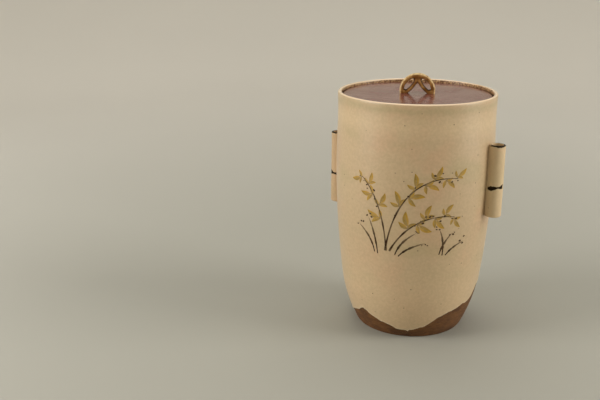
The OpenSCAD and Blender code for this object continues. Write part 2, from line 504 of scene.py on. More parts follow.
liningShape = dict(
    back=0.3 * mm,             # how deep its back lies in the clay
    spiralDepth=0.12 * mm,     # throwing spiral left in the wall and floor
    spiralPitch=9 * mm,
    spiralStart=10 * mm,       # it fades away inside this radius
)


# Glaze lining: the inside wall, cove and floor at the coat's thickness, with the throwing spiral left in it,
# and the same outline pushed into the clay as its back
def makeLining():
    turn = onceRound(300)
    wallZ = np.linspace(coveTop, innerTop, 90)
    swing = np.linspace(-np.pi / 2, 0, 16)[:-1]
    floorRadius = np.linspace(0.02, 1, 40)[:-1] * coveMiddle

    def skin(depth):
        floor = outlinePoints(floorRadius, jar["floorTop"] + depth)
        cove = arc(coveMiddle, coveTop, jar["cove"] - depth, swing)
        wall = outlinePoints(innerRadius(wallZ) - depth, wallZ)
        return np.vstack([floor, cove, wall])

    face, back = skin(jar["glaze"]), skin(-liningShape["back"])[::-1]
    outline = np.vstack([face, back])
    radius, z = outline[:, :1], outline[:, 1:]
    run = z - np.minimum(radius, coveMiddle)
    spiral = 0.5 + 0.5 * np.sin(2 * np.pi * run / liningShape["spiralPitch"] + turn)
    fade = np.clip(radius / liningShape["spiralStart"], 0, 1)
    isFace = (np.arange(len(outline)) < len(face))[:, None]
    radius = radius + isFace * fade * liningShape["spiralDepth"] * spiral
    floorTop = jar["floorTop"]
    poles = dict(firstPole=(0, 0, floorTop + jar["glaze"]), lastPole=(0, 0, floorTop - liningShape["back"]))
    return faceOutwards(gridPiece("glaze_lining", carriedRound(radius, z, turn), **poles))


# Lugs

lugShape = dict(
    middle=74.4 * mm,      # from the jar's axis to the lug's
    outer=7.2 * mm,
    bore=4.6 * mm,
    edgeRound=0.9 * mm,
    filletSwell=0.5 * mm,  # slip smeared into the joint with the wall
    filletTurn=0.74,       # where the tube meets the wall, in radians from the wall side
    filletReach=0.18,
    filletEnd=0.03,        # share of the length over which it runs out at both ends
    bandFromTop=0.58,      # share of the length from the top down to the painted node
    waist=0.10 * mm,       # how much slimmer the tube is there
    waistReach=0.018,
    dent=0.16 * mm,        # deepest finger mark
    cut=0.45 * mm,         # how much the hand-cut ends waver
)
# Each lug's tone is painted light and shade: the right lug paler as lit, the left one darker as shaded
rightLug = dict(
    turn=0.0, low=110 * mm, length=63 * mm, phase=0.3,
    bandTurn=-1.12, bandTilt=0.9 * mm, tone=screenColour(230, 207, 168),
)
leftLug = dict(
    turn=math.radians(182.5), low=101.5 * mm, length=66.5 * mm, phase=2.0,
    bandTurn=1.12, bandTilt=-0.7 * mm, tone=screenColour(192, 164, 130),
)


# One lug: a tube whose outer face, upper edge, bore and lower edge form one closed outline, carried round its
# own axis; the outer radius swells where it meets the wall, and both ends waver as cut by hand
def makeLug(name, lug):
    shape, phase = lugShape, lug["phase"]
    spin = onceRound(128)
    low, top = lug["low"], lug["low"] + lug["length"]
    outer, bore, soft = shape["outer"], shape["bore"], shape["edgeRound"]
    quarter = np.linspace(0, np.pi / 2, 7)
    upZ = np.linspace(low + soft, top - soft, 70)
    outline = np.vstack([
        outlinePoints(outer, upZ),
        arc(outer - soft, top - soft, soft, quarter)[1:],
        arc(bore + soft, top - soft, soft, quarter + np.pi / 2),
        outlinePoints(bore, upZ[::-1][::3])[1:-1],
        arc(bore + soft, low + soft, soft, quarter + np.pi)[1:],
        arc(outer - soft, low + soft, soft, quarter - np.pi / 2)[:-1],
    ])
    radius, z = outline[:, :1], outline[:, 1:]
    share = (z - low) / lug["length"]
    outside = np.clip((radius - bore) / (outer - bore), 0, 1)
    fromJoint = (np.abs(spin - np.pi) - shape["filletTurn"]) / shape["filletReach"]
    ends = np.clip(np.minimum(share, 1 - share) / shape["filletEnd"], 0, 1)
    fillet = shape["filletSwell"] * np.exp(-(fromJoint**2)) * ends
    uneven = 0.5 + 0.3 * np.sin(2 * spin + 7 * share + phase) + 0.2 * np.sin(5 * spin - 11 * share + phase)
    waist = shape["waist"] * np.exp(-(((share - 1 + shape["bandFromTop"]) / shape["waistReach"]) ** 2))
    radius = radius + outside * (fillet - shape["dent"] * uneven - waist)
    cut = 0.5 + 0.35 * np.sin(spin + phase) + 0.15 * np.sin(3 * spin + 2 * phase)
    z = z - shape["cut"] * cut * np.clip((share - 0.5) * 2, -1, 1)
    points = turnedBy(lug["turn"], shape["middle"] + radius * np.cos(spin), radius * np.sin(spin), z)
    return faceOutwards(gridPiece(name, points, closeRows=True))


# Lid

lidShape = dict(
    radius=64.6 * mm,
    top=209 * mm,
    bottom=204 * mm,
    edgeRound=1.5 * mm,
    bevel=1.0 * mm,
    glaze=0.4 * mm,
    backing=0.2 * mm,      # how much deeper than the coat's thickness its back and the clay's top lie
    skirt=3.0 * mm,
    skirtRound=0.3 * mm,   # height of the coat's thinned lower edge
    sag=0.16 * mm,         # how far the top waves, always downwards
    ringDepth=0.06 * mm,   # turning rings underneath
    ringPitch=2.6 * mm,
    turn=math.radians(23),
)


# How far the lid's top waves down, as slab-made lids do: two sines that cross each other
def lidSag(x, y):
    wave = 0.5 + 0.28 * np.sin(61 * x + 23 * y + 0.5) + 0.22 * np.sin(34 * x - 77 * y + 2.2)
    return lidShape["sag"] * wave


# Lid glaze: flat top, round edge and short skirt as one outline round the axis, with a back inside the clay
def makeLidGlaze():
    turn = onceRound(360)
    edge, top, soft = lidShape["radius"], lidShape["top"], lidShape["edgeRound"]
    skirtEnd = top - lidShape["skirt"]
    inset = lidShape["glaze"] + lidShape["backing"]
    outline = np.vstack([
        outlinePoints(np.linspace(0.01, 1, 60) * (edge - soft), top),
        arc(edge - soft, top - soft, soft, np.linspace(np.pi / 2, 0, 12)[1:]),
        [(edge, skirtEnd + lidShape["skirtRound"]), (edge - lidShape["skirtRound"] / 2, skirtEnd)],
        [(edge - inset, skirtEnd), (edge - inset, top - soft), (edge - soft, top - inset)],
        [(edge * 0.5, top - inset), (edge * 0.01, top - inset)],
    ])
    radius, z = outline[:, :1], outline[:, 1:]
    x, y = radius * np.cos(turn), radius * np.sin(turn)
    isTop = np.clip((z - top + 0.9 * mm) / (0.5 * mm), 0, 1)
    points = np.stack([x, y, z - isTop * lidSag(x, y)], -1)
    poles = dict(firstPole=(0, 0, top - lidSag(0, 0)), lastPole=(0, 0, top - inset))
    return faceOutwards(gridPiece("lid_glaze_coat", points, **poles))


# Lid clay: the disc under the glaze as one outline round the axis, bevelled at the bottom and turned with
# fine rings underneath
def makeLidClay():
    turn = onceRound(300)
    edge = lidShape["radius"] - lidShape["glaze"]
    low, high = lidShape["bottom"], lidShape["top"] - lidShape["glaze"]
    hidden = high - lidShape["backing"]
    bevel, soft = lidShape["bevel"], lidShape["edgeRound"]
    outline = np.vstack([
        outlinePoints(np.linspace(0.01, 1, 110) * (edge - bevel), low),
        [(edge - bevel * 0.3, low + bevel * 0.3), (edge, low + bevel), (edge, high - soft)],
        [(edge - soft * 0.3, high - soft * 0.3), (edge - soft, hidden)],
        [(edge * 0.5, hidden), (edge * 0.01, hidden)],
    ])
    radius, z = outline[:, :1], outline[:, 1:]
    rings = 0.5 + 0.5 * np.sin(2 * np.pi * radius / lidShape["ringPitch"] + 0.8 * np.sin(turn))
    isUnder = np.clip((low + 0.2 * mm - z) / (0.2 * mm), 0, 1)
    points = carriedRound(radius, z + isUnder * lidShape["ringDepth"] * rings, turn)
    return faceOutwards(gridPiece("lid_clay", points, firstPole=(0, 0, low), lastPole=(0, 0, hidden)))


# Knob

knobShape = dict(
    width=31 * mm,
    height=17.6 * mm,
    behind=3.0 * mm,        # how far it stands behind the middle of the lid
    archThick=1.92 * mm,    # half the coil's thickness in the knob's plane
    archDeep=2.50 * mm,     # half its depth across the plane
    crownSwell=0.7 * mm,    # half of what the arch is thicker at its crest, all of it inwards
    crownDeep=0.25 * mm,
    footSwell=0.35 * mm,    # the same where its feet are pressed on
    footDeep=0.30 * mm,
    legThick=1.60 * mm,
    legDeep=2.25 * mm,
    legFlare=0.55 * mm,     # how much thicker the legs are towards their ends
    legFlareDeep=0.25 * mm,
    legBow=2.0 * mm,
    legTop=14.6 * mm,
    legFoot=12.0 * mm,
    padOut=11.8 * mm,       # from the middle to the clay pressed into each foot
    padHeight=1.0 * mm,
    padSize=(3.2 * mm, 2.5 * mm, 2.5 * mm),
    crestHeight=12.8 * mm,  # middle of the clay pressed into the crest
    crestSize=(3.7 * mm, 2.4 * mm, 2.7 * mm),
    sink=0.5 * mm,          # how far the feet are pressed into the lid's glaze
    blendStep=0.22 * mm,    # grain of the pressing that joins the coils
    smoothing=7,            # passes that ease it
)


# A point of the knob from its place along its upright plane, across it and up from the lid
def onLid(along, across, up):
    return turnedBy(lidShape["turn"], along, across + knobShape["behind"], lidShape["top"] + up)


# A coil along a path in the knob's upright plane: an oval section, thick in the plane and deep across it,
# set square to the path and closed at both ends
def makeCoil(name, pathX, pathZ, thick, deep):
    around = onceRound(48)
    alongX, alongZ = np.gradient(pathX), np.gradient(pathZ)
    length = np.hypot(alongX, alongZ)
    squareX, squareZ = (-alongZ / length)[:, None], (alongX / length)[:, None]
    swell = thick[:, None] * np.sign(np.cos(around)) * np.abs(np.cos(around)) ** 0.85
    depth = deep[:, None] * np.sign(np.sin(around)) * np.abs(np.sin(around)) ** 0.85
    points = onLid(pathX[:, None] + squareX * swell, depth, pathZ[:, None] + squareZ * swell)
    first, last = onLid(pathX[[0, -1]], 0.0, pathZ[[0, -1]])
    return faceOutwards(gridPiece(name, points, firstPole=first, lastPole=last))


# Clay pressed in with a finger: an egg from two angles, set in the knob's plane and cut off where it meets
# the lid
def makeBlob(name, x, z, size):
    around = onceRound(40)
    tilt = np.linspace(-np.pi / 2, np.pi / 2, 26)[1:-1, None]
    floor = -knobShape["sink"]
    up = np.maximum(z + size[2] * np.sin(tilt), floor)
    points = onLid(x + size[0] * np.cos(tilt) * np.cos(around), size[1] * np.cos(tilt) * np.sin(around), up)
    first = onLid(x, 0.0, max(z - size[2], floor))
    last = onLid(x, 0.0, z + size[2])
    return faceOutwards(gridPiece(name, points, firstPole=first, lastPole=last))


# The knob: an arch on a circle, and two legs that leave its crest and run to its feet on a shallow bow;
# the joined coils are pressed into one body by a fine remesh and a few passes of smoothing
def makeKnob():
    shape, sink = knobShape, knobShape["sink"]
    reach = shape["width"] / 2 - shape["archThick"]
    archMiddle = shape["height"] - shape["width"] / 2
    footTurn = math.asin((archMiddle + sink) / reach)
    swing = np.linspace(np.pi + footTurn, -footTurn, 90)
    share = np.linspace(-1, 1, 90)
    crown = np.exp(-((share / 0.22) ** 2))
    foot = np.exp(-(((1 - np.abs(share)) / 0.07) ** 2))
    uneven = 1 + 0.03 * np.sin(9 * share + 0.6) + 0.02 * np.sin(21 * share)
    thick = shape["archThick"] * (uneven - 0.03) + shape["footSwell"] * foot + shape["crownSwell"] * crown
    deep = shape["archDeep"] * uneven + shape["crownDeep"] * crown + shape["footDeep"] * foot
    archRadius = reach - shape["crownSwell"] * crown
    archX = (archRadius - shape["footSwell"] * foot) * np.cos(swing)
    archZ = archMiddle + archRadius * np.sin(swing)
    coils = [
        makeCoil("knob_coils", archX, archZ, thick, deep),
        makeBlob("knob_crest", 0.0, shape["crestHeight"], shape["crestSize"]),
    ]
    run = np.linspace(0, 1, 60)
    bow = shape["legBow"] * 4 * run * (1 - run)
    flare = np.exp(-((run / 0.22) ** 2)) + 0.55 * np.exp(-(((1 - run) / 0.16) ** 2))
    legZ = shape["legTop"] * (1 - run) - sink * run - bow * 0.6
    legThick = shape["legThick"] + shape["legFlare"] * flare
    legDeep = shape["legDeep"] + shape["legFlareDeep"] * flare
    for side in (-1, 1):
        legX = side * (shape["legFoot"] * run - bow * 0.8)
        coils.append(makeCoil("knob_leg", legX, legZ, legThick, legDeep))
        coils.append(makeBlob("knob_foot", side * shape["padOut"], shape["padHeight"], shape["padSize"]))
    bpy.ops.object.select_all(action="DESELECT")
    for coil in coils:
        coil.select_set(True)
    knob = coils[0]
    bpy.context.view_layer.objects.active = knob
    bpy.ops.object.join()
    press = knob.modifiers.new("press", "REMESH")
    press.mode = "VOXEL"
    press.voxel_size = shape["blendStep"]
    press.use_smooth_shade = True
    ease = knob.modifiers.new("ease", "SMOOTH")
    ease.factor = 0.5
    ease.iterations = shape["smoothing"]
    return knob


# Painted spray

spray = dict(
    middle=math.radians(-66.0),    # turn of the spray's middle line
    lift=0.045 * mm,               # how far the paint stands above the glaze
    leafLength=12.5,               # this and the widths in millimetres, as painted
    leafWidth=5.6,
    leafBow=0.09,                  # share of the length
    ribWidth=0.52,
    stemWidth=1.9,
    grassWidth=2.1,
    stalkTurn=0.85,                # from the stem, in radians
    seedSpread=2.3,
    seedHalf=(0.55, 1.35),         # least and greatest half length
)
# The three leaves of a stalk: turn from it in radians, size, and how far out along it each starts
leafFan = [
    dict(turn=-1.05, size=0.72, start=1.6),
    dict(turn=0.0, size=1.0, start=3.4),
    dict(turn=1.05, size=0.72, start=1.6),
]
# Stems and grass as listed start, bend and end, in millimetres right of the middle and up from the table
stemRoutes = [
    dict(start=(-24, 86), bend=(-12, 158), end=(37, 150), leaves=7),
    dict(start=(-23, 86), bend=(-26, 132), end=(-47, 148), leaves=5),
    dict(start=(-20, 86), bend=(0, 124), end=(36, 117), leaves=6),
]
grassRoutes = [
    dict(start=(-34, 83), bend=(-37, 98), end=(-51, 106)),
    dict(start=(-31, 82), bend=(-33, 100), end=(-40, 114)),
    dict(start=(-15, 83), bend=(-11, 96), end=(3, 104)),
    dict(start=(-12, 82), bend=(-5, 91), end=(11, 95)),
    dict(start=(24, 84), bend=(26, 94), end=(35, 103)),
    dict(start=(27, 83), bend=(28, 97), end=(23, 107)),
    dict(start=(30, 83), bend=(35, 90), end=(48, 94)),
]


# A point on a bend: start, bend and end weighted by the squares of the share along it
def alongBend(route, share):
    start, bend, end = (np.array(route[key], dtype=float) for key in ("start", "bend", "end"))
    share = np.asarray(share)[..., None]
    return (1 - share) ** 2 * start + 2 * share * (1 - share) * bend + share**2 * end


# 1 and -1 by turns
def alternate(count):
    return np.where(np.arange(count) % 2 == 0, 1.0, -1.0)


# Paint on the glaze: flat points in millimetres are wrapped on the coat's own surface and stood off it
def wrapOnGlaze(flat, lift):
    z = flat[..., 1] * mm
    turn = spray["middle"] + flat[..., 0] * mm / jar["bellyRadius"]
    return carriedRound(clayRadius(turn, z) + jar["glaze"] + lift, z, turn)


# Brush strokes: a centre line with a half width at each point and lines across it, domed so that the two
# outer lines dip under the glaze; ink is full inside and none at the outer lines, and tone runs from one
# side to the other
def makeStroke(name, centre, halfWidth, density, across=9, layers=1.0):
    halfWidth = np.broadcast_to(halfWidth, centre.shape[:2])[:, :, None]
    density = np.broadcast_to(density, centre.shape[:2])[:, :, None]
    step = np.gradient(centre, axis=1)
    length = np.maximum(np.linalg.norm(step, axis=-1, keepdims=True), 1e-9)
    side = np.stack([step[..., 1], -step[..., 0]], -1) / length
    lines = np.linspace(-1, 1, across)
    flat = centre[:, :, None, :] + side[:, :, None, :] * (halfWidth * lines)[..., None]
    dome = (1 - lines**4) * 1.25 - 0.25 + (layers - 1)
    piece = patchPiece(name, wrapOnGlaze(flat, spray["lift"] * dome))
    ink = np.clip((1 - np.abs(lines)) / 0.3, 0, 1)
    paintValue(piece, "ink", ink * density)
    paintValue(piece, "tone", 0.5 - 0.5 * lines + 0 * density)
    return piece


# Leaves: three to a stalk, set along each stem on alternate sides and smaller towards its tip
def leafPlaces():
    random = np.random.default_rng(11)
    base, heading, size = [], [], []
    for route in stemRoutes:
        share = np.linspace(0.34, 0.98, route["leaves"])
        place = alongBend(route, share)
        ahead = alongBend(route, share + 0.01) - place
        stalkTurn = np.arctan2(ahead[:, 1], ahead[:, 0]) + alternate(len(share)) * spray["stalkTurn"]
        stalk = np.stack([np.cos(stalkTurn), np.sin(stalkTurn)], -1)
        for leaf in leafFan:
            base.append(place + stalk * leaf["start"])
            heading.append(stalkTurn + leaf["turn"] + random.normal(0, 0.10, len(share)))
            size.append(leaf["size"] * (1.12 - 0.42 * share) * random.uniform(0.9, 1.1, len(share)))
    return np.vstack(base), np.concatenate(heading), np.concatenate(size)


# A leaf's line: straight out from its base with a slight sideways bow, a sine arch of the share along it
def leafLine(share, base, heading, size):
    length = spray["leafLength"] * size[:, None]
    bow = spray["leafBow"] * length * np.sin(np.pi * share) * alternate(len(size))[:, None]
    alongX, alongZ = np.cos(heading)[:, None], np.sin(heading)[:, None]
    x = base[:, :1] + length * share * alongX - bow * alongZ
    z = base[:, 1:] + length * share * alongZ + bow * alongX
    return np.stack([x, z], -1)


# Half widths: leaves swell as a sine arch with its widest part low, ribs and stems thin towards the tip,
# grass thins at both ends, and seeds are short strokes with round ends
def makeSpray():
    pieces = {}
    base, heading, size = leafPlaces()
    run = np.linspace(0, 1, 26)[None, :]
    leaves = leafLine(run, base, heading, size)
    leafHalf = 0.5 * spray["leafWidth"] * size[:, None] * np.sin(np.pi * run**0.8) ** 0.85 + 0.05
    pieces["leaves"] = makeStroke("paint_leaves", leaves, leafHalf, 0.72 + 0.28 * run, 15)
    ribs = leafLine(run * 0.92 - 0.12, base, heading, size)
    ribHalf = 0.5 * spray["ribWidth"] * (1 - 0.7 * run)
    pieces["ribs"] = makeStroke("paint_ribs", ribs, ribHalf, 0.95 - 0.45 * run, 5, layers=2.2)

    share = np.linspace(0, 1, 90)
    waver = 1 + 0.16 * np.sin(23 * share + 1.0) + 0.10 * np.sin(51 * share)
    stems = np.stack([alongBend(route, share) for route in stemRoutes])
    stemHalf = 0.5 * spray["stemWidth"] * (1 - 0.60 * share) * waver
    stemInk = 0.80 + 0.20 * np.sin(17 * share + 0.4) ** 2
    pieces["stems"] = makeStroke("paint_stems", stems, stemHalf, stemInk, 7, layers=1.6)

    blades = np.stack([alongBend(route, share) for route in grassRoutes])
    bladeHalf = 0.5 * spray["grassWidth"] * np.sin(np.pi * np.clip(share * 0.92 + 0.08, 0, 1)) ** 0.7
    bladeInk = 1.0 - 0.45 * share**2
    pieces["grass"] = makeStroke("paint_grass", blades, bladeHalf * waver + 0.03, bladeInk, 7)

    random = np.random.default_rng(5)
    beside = [alongBend(route, np.linspace(0.50, 1.0, 9)) for route in stemRoutes]
    beside += [np.array([route["end"]] * 3, dtype=float) for route in grassRoutes]
    seeds = np.vstack(beside)
    seeds = seeds + random.normal(0, spray["seedSpread"], seeds.shape) + (0.0, 1.0)
    half = random.uniform(*spray["seedHalf"], len(seeds))[:, None]
    lean = random.uniform(-0.6, 0.9, len(seeds))[:, None]
    short = np.linspace(-1, 1, 16)[None, :]
    dots = np.stack([
        seeds[:, :1] + half * short * np.cos(lean),
        seeds[:, 1:] + half * short * np.sin(lean),
    ], -1)
    dotHalf = half * 0.8 * np.sqrt(np.clip(1 - short**2, 0, 1)) + 0.02
    pieces["seeds"] = makeStroke("paint_seeds", dots, dotHalf, 0.95, 9, layers=2.8)
    return pieces


# Finishes

creamGlazeLook = dict(
    cream=screenColour(199, 174, 137),
    blush=screenColour(204, 169, 133),
    blushWeight=0.75,
    olive=screenColour(184, 166, 125),
    oliveWeight=0.60,
    patchScale=24.0,
    mottleDark=(0.935, 0.93, 0.92, 1),
    mottlePale=grey(1.04),
    mottleScale=420.0,
    speck=screenColour(58, 36, 18),
    speckWeight=0.75,
    speckScale=150.0,
    shadeAndHighlightBelts=[                     # painted shade just under the lip, olive, and a pale painted highlight below it
        dict(tone=screenColour(170, 157, 116), height=206 * mm, reach=5 * mm),
        dict(tone=screenColour(220, 195, 155), height=193 * mm, reach=13 * mm),
    ],
    beltWeight=0.40,            # how strongly both belts show
    beltWander=12 * mm,
    lowTone=screenColour(213, 187, 149),
    lowStart=30 * mm,           # the glaze is thickest and palest below here
    lowEnd=105 * mm,
    lowWeight=0.65,
    edgeTone=screenColour(222, 202, 166),
    edgeWeight=0.6,
    fleckTone=screenColour(244, 232, 208),
    crestHighlightTone=screenColour(255, 230, 196),
    crestStart=210.8 * mm,      # painted highlight over the crest of the rim
    crestFull=211.6 * mm,
    crestHighlightWeight=0.95,
    crestPolish=0.24,           # how much smoother it is there
    lipTan=screenColour(212, 172, 122),
    lipDark=screenColour(122, 82, 48),
    wearTurn=math.radians(46),  # the side where the lid has rubbed the lip most
    wearLean=0.24,
    wearPatches=0.9,
    gapShadeAndStainTone=screenColour(58, 36, 20),   # glaze beside the lid: painted shade in the gap, and stain
    gapLow=207.8 * mm,
    gapTop=209.4 * mm,
    liningTone=screenColour(168, 138, 98),
    liningWeight=0.22,
    smooth=0.35,                # least and greatest roughness
    dull=0.50,
    coatRoughness=0.16,
)


# The cream glaze's colour: broad blush and olive patches, two belts under the lip (painted shade and painted
# highlight), paler glaze low down, a fine mottle and scattered iron specks
def creamColour(tree, place):
    look = creamGlazeLook
    blush = stepUp(tree, noise(tree, place, look["patchScale"], 3.0, 0.55), 0.42, 0.68)
    olive = stepUp(tree, noise(tree, place, look["patchScale"] * 0.7, 2.0, 0.5, (1, 1, 2.2)), 0.50, 0.74)
    colour = blendColour(tree, times(tree, blush, look["blushWeight"]), look["cream"], look["blush"])
    colour = blendColour(tree, times(tree, olive, look["oliveWeight"]), colour, look["olive"])
    z = axes(tree, place)[2]
    level = plus(tree, z, centred(tree, noise(tree, place, 14.0, 2.0), look["beltWander"]))
    # The upper belt is painted shade and the lower one a painted highlight, both following the level
    for belt in look["shadeAndHighlightBelts"]:
        away = maths(tree, "ABSOLUTE", minus(tree, level, belt["height"]))
        within = stepDown(tree, away, 0.0, belt["reach"])
        colour = blendColour(tree, times(tree, within, look["beltWeight"]), colour, belt["tone"])
    low = stepDown(tree, z, look["lowStart"], look["lowEnd"])
    colour = blendColour(tree, times(tree, low, look["lowWeight"]), colour, look["lowTone"])
    mottle = noise(tree, place, look["mottleScale"], 4.0, 0.6)
    colour = shaded(tree, colour, stepUp(tree, mottle, 0.30, 0.72), look["mottleDark"], look["mottlePale"])
    specks = speckles(tree, place, look["speckScale"], size=(0.05, 0.10), chance=(0.58, 0.74))
    return blendColour(tree, times(tree, specks, look["speckWeight"]), colour, look["speck"]), mottle


# Satin of the cream glaze: roughness that drifts a little, an orange-peel bump with fine pits, and a clear
# coat; where polish is given, from 0 to 1, the glaze is smoother by it
def finishCream(tree, shader, place, mottle, polish=None, specular=0.5, coat=0.22):
    look = creamGlazeLook
    rough = spread(tree, noise(tree, place, 60.0, 2.0), look["smooth"], look["dull"])
    if polish:
        rough = maths(tree, "MULTIPLY_ADD", polish, -look["crestPolish"], rough)
    peel = bump(tree, mottle, 0.10, 0.2 * mm)
    pits = bump(tree, noise(tree, place, 1500.0, 2.0), 0.06, 0.1 * mm, peel)
    fill(tree, shader, {
        "Roughness": rough, "Normal": pits, "Specular IOR Level": specular,
        "Coat Weight": coat, "Coat Roughness": look["coatRoughness"],
    })


# Cream glaze of the jar: pale crumbs along the dipped edge, a painted highlight and polish on the crest of
# the rim, and on the inner lip thin glaze worn to brown flecks, most on one side, and darker beside the lid
# as painted shade and stain
def makeCreamGlaze():
    look = creamGlazeLook
    material, tree, shader, place = newMaterial("cream_glaze")
    colour, mottle = creamColour(tree, place)
    edge = attribute(tree, "nearEdge")
    colour = blendColour(tree, times(tree, edge, look["edgeWeight"]), colour, look["edgeTone"])
    crumbs = stepUp(tree, noise(tree, place, 700.0, 2.0, 0.6), 0.56, 0.64)
    crumbs = times(tree, crumbs, stepUp(tree, edge, 0.35, 0.75))
    colour = blendColour(tree, crumbs, colour, look["fleckTone"])
    lip = attribute(tree, "thinLip")
    x, y, z = axes(tree, place)
    # crest: painted highlight on the rim's crest, and where the glaze is polished smoother
    crest = stepUp(tree, z, look["crestStart"], look["crestFull"])
    colour = blendColour(tree, times(tree, crest, look["crestHighlightWeight"]), colour, look["crestHighlightTone"])
    patchy = centred(tree, noise(tree, place, 90.0, 3.0, 0.6), look["wearPatches"])
    leanX = look["wearLean"] * math.cos(look["wearTurn"]) / galleryRadius
    leanY = look["wearLean"] * math.sin(look["wearTurn"]) / galleryRadius
    lean = maths(tree, "MULTIPLY_ADD", y, leanY, times(tree, x, leanX))
    worn = stepUp(tree, plus(tree, plus(tree, lip, patchy), lean), 0.45, 0.85)
    flecks = stepUp(tree, noise(tree, place, 760.0, 2.0, 0.6), 0.45, 0.57)
    colour = blendColour(tree, worn, colour, blendColour(tree, flecks, look["lipDark"], look["lipTan"]))
    # Painted shade and stain on the inner lip, down beside the lid
    deep = times(tree, stepDown(tree, z, look["gapLow"], look["gapTop"]), lip)
    fill(tree, shader, {"Base Color": blendColour(tree, deep, colour, look["gapShadeAndStainTone"])})
    finishCream(tree, shader, place, mottle, crest)
    return material


def makeLiningGlaze():
    look = creamGlazeLook
    material, tree, shader, place = newMaterial("lining_glaze")
    colour, mottle = creamColour(tree, place)
    fill(tree, shader, {"Base Color": blendColour(tree, look["liningWeight"], colour, look["liningTone"])})
    finishCream(tree, shader, place, mottle)
    return material


paintLooks = {
    "leaf_yellow": dict(light=screenColour(188, 146, 32), dark=screenColour(142, 114, 30), strength=0.96),
    "rib_olive": dict(light=screenColour(84, 70, 28), dark=screenColour(62, 50, 24), strength=0.85),
    "iron_brown": dict(light=screenColour(66, 40, 15), dark=screenColour(32, 19, 8), strength=1.0),
}
paintFor = dict(
    leaves="leaf_yellow", ribs="rib_olive", stems="iron_brown", grass="iron_brown", seeds="iron_brown",
)


# Paint under the last thin glaze: the cream glaze with pigment mixed in by the stroke's own ink value,
# broken up a little, and darker towards one side and where it pooled
def makePaint(name):
    look = paintLooks[name]
    material, tree, shader, place = newMaterial(name)
    colour, mottle = creamColour(tree, place)
    ink = attribute(tree, "ink")
    pool = times(tree, noise(tree, place, 170.0, 2.0), 0.8)
    shading = plus(tree, pool, times(tree, attribute(tree, "tone"), 0.45))
    pigment = blendColour(tree, stepUp(tree, shading, 0.42, 0.86), look["light"], look["dark"])
    broken = centred(tree, noise(tree, place, 700.0, 3.0, 0.6), 0.35)
    amount = times(tree, plus(tree, ink, broken, clamp=True), look["strength"], clamp=True)
    amount = times(tree, amount, stepUp(tree, ink, 0.0, 0.25))
    fill(tree, shader, {"Base Color": blendColour(tree, amount, colour, pigment)})
    finishCream(tree, shader, place, mottle, specular=0.15, coat=0.05)
    return material


lugLook = dict(
    litAndShadedToneWeight=0.5,          # how much of each lug's tone is in its glaze: the right lug paler as painted light, the left darker as painted shade
    ironDark=screenColour(34, 22, 3),
    ragged=1.6 * mm,         # how far the iron's outline strays
    patches=2.2 * mm,
    bandHalf=1.5 * mm,       # half the brushed node's height
    bandReach=1.10,          # how far it goes round to either side, in radians
    blobSwell=0.40,          # share by which its height grows and shrinks,
    blobWaves=4.2,           # in so many radians of a wave for each radian round
    blobStart=3.6,
    rimDepth=1.2 * mm,       # how far the iron on the upper edge comes down
    rimInner=4.9 * mm,       # from the lug's axis: the iron on top begins here
    rimOuter=5.5 * mm,       # and is full here
    wallSide=-6.0 * mm,      # out from the lug's axis: no iron on top up to here, next to the jar's wall,
    wallClear=-2.0 * mm,     # and all of it from here on
    specular=0.08,
    coat=0.04,
)


# Lug glaze: the cream glaze with iron brushed along the upper edge and across the node, blobby and ragged
def makeLugGlaze(name, lug):
    look = lugLook
    material, tree, shader, place = newMaterial(name)
    colour, mottle = creamColour(tree, place)
    # The lug's tone mixed in is painted light on the right lug and painted shade on the left
    colour = blendColour(tree, look["litAndShadedToneWeight"], colour, lug["tone"])
    out, along, z = axes(tree, turnedPlace(tree, place, lug["turn"], (-lugShape["middle"], 0, 0)))
    ragged = centred(tree, noise(tree, place, 420.0, 3.0, 0.6), look["ragged"])
    top = lug["low"] + lug["length"]

    fromMiddle = minus(tree, maths(tree, "ARCTAN2", along, out), lug["bandTurn"])
    bandZ = top - lugShape["bandFromTop"] * lug["length"]
    rise = maths(tree, "MULTIPLY_ADD", fromMiddle, lug["bandTilt"], bandZ)
    fromBand = plus(tree, maths(tree, "ABSOLUTE", minus(tree, z, rise)), ragged)
    blobs = maths(tree, "SINE", maths(tree, "MULTIPLY_ADD", fromMiddle, look["blobWaves"], look["blobStart"]))
    half = maths(tree, "MULTIPLY_ADD", blobs, look["blobSwell"] * look["bandHalf"], look["bandHalf"])
    band = stepUp(tree, minus(tree, half, fromBand), -0.15 * mm, 0.30 * mm)
    ends = minus(tree, look["bandReach"], maths(tree, "ABSOLUTE", fromMiddle))
    band = times(tree, band, stepUp(tree, ends, 0.0, 0.12))

    patchy = centred(tree, noise(tree, place, 170.0, 2.0), look["patches"])
    uneven = plus(tree, plus(tree, z, ragged), patchy)
    rimStart = top - look["rimDepth"]
    rim = stepUp(tree, uneven, rimStart - 0.2 * mm, rimStart + 0.3 * mm)
    onEdge = stepUp(tree, plus(tree, lengthOf(tree, out, along), ragged), look["rimInner"], look["rimOuter"])
    awayFromWall = stepUp(tree, out, look["wallSide"], look["wallClear"])
    rim = times(tree, rim, times(tree, onEdge, awayFromWall))

    iron = maths(tree, "MAXIMUM", band, rim)
    fill(tree, shader, {"Base Color": blendColour(tree, iron, colour, look["ironDark"])})
    finishCream(tree, shader, place, mottle, specular=look["specular"], coat=look["coat"])
    return material


clayLook = dict(
    brown=screenColour(116, 76, 37),
    dark=screenColour(84, 52, 23),
    pale=screenColour(152, 112, 74),
    grainScale=680.0,
    grainWeight=0.70,
    fineContrast=0.28,
    streakContrast=0.20,
    roughness=0.82,
)


